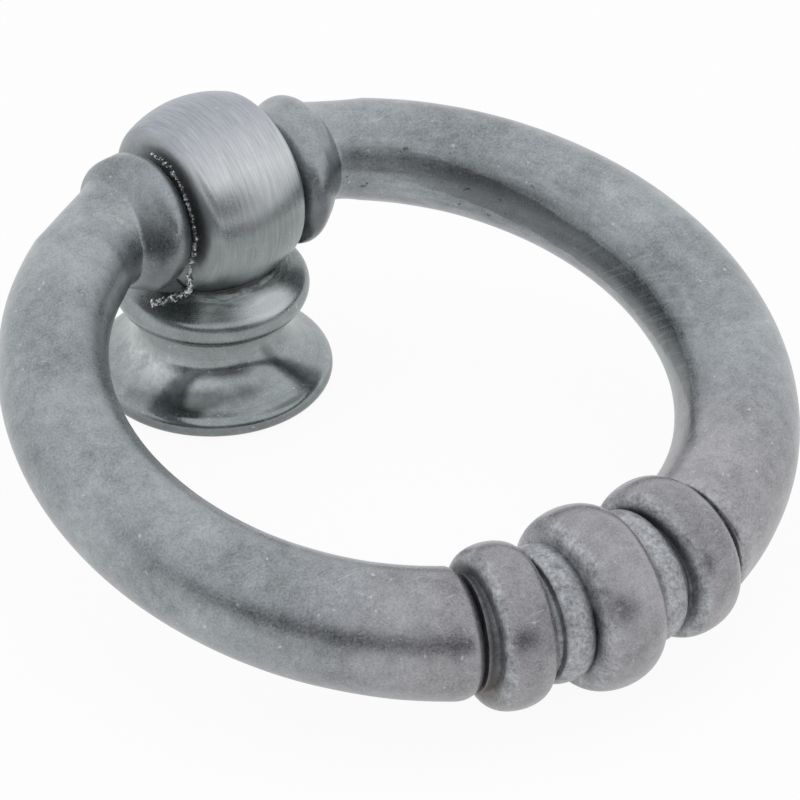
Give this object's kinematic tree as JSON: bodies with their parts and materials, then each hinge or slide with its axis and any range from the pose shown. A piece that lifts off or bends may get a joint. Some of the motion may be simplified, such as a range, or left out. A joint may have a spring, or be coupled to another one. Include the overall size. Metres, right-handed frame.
{
  "type": "ring knob",
  "caption": "Cabinet ring knob: a beaded cast ring swings on a hidden pin through the barrel of a turned post with a bell foot and a tapped hole for the mounting screw.",
  "frame": {"origin": "centre of the foot's flat mounting face, on the axis of the tapped hole", "axes": "+Z out of the door or drawer front along the post, X along the pivot pin, the ring hanging towards -Y"},
  "size_m": [0.0512, 0.0541, 0.0207],
  "materials": {
    "post_metal": "satin grey patina, brushed on the barrel and polished on the foot",
    "ring_metal": "satin grey patina with dark grooves",
    "pin_steel": "bright"
  },
  "bodies": {
    "post": {"post": "post_metal", "pivot_pin": "pin_steel"},
    "ring": {"ring": "ring_metal"}
  },
  "joints": [
    {"name": "ring_swing", "type": "hinge", "parent": "post", "child": "ring", "pos_m": [0, 0, 0.0138], "axis": [-1, 0, 0], "range_deg": [0, 202]}
  ]
}
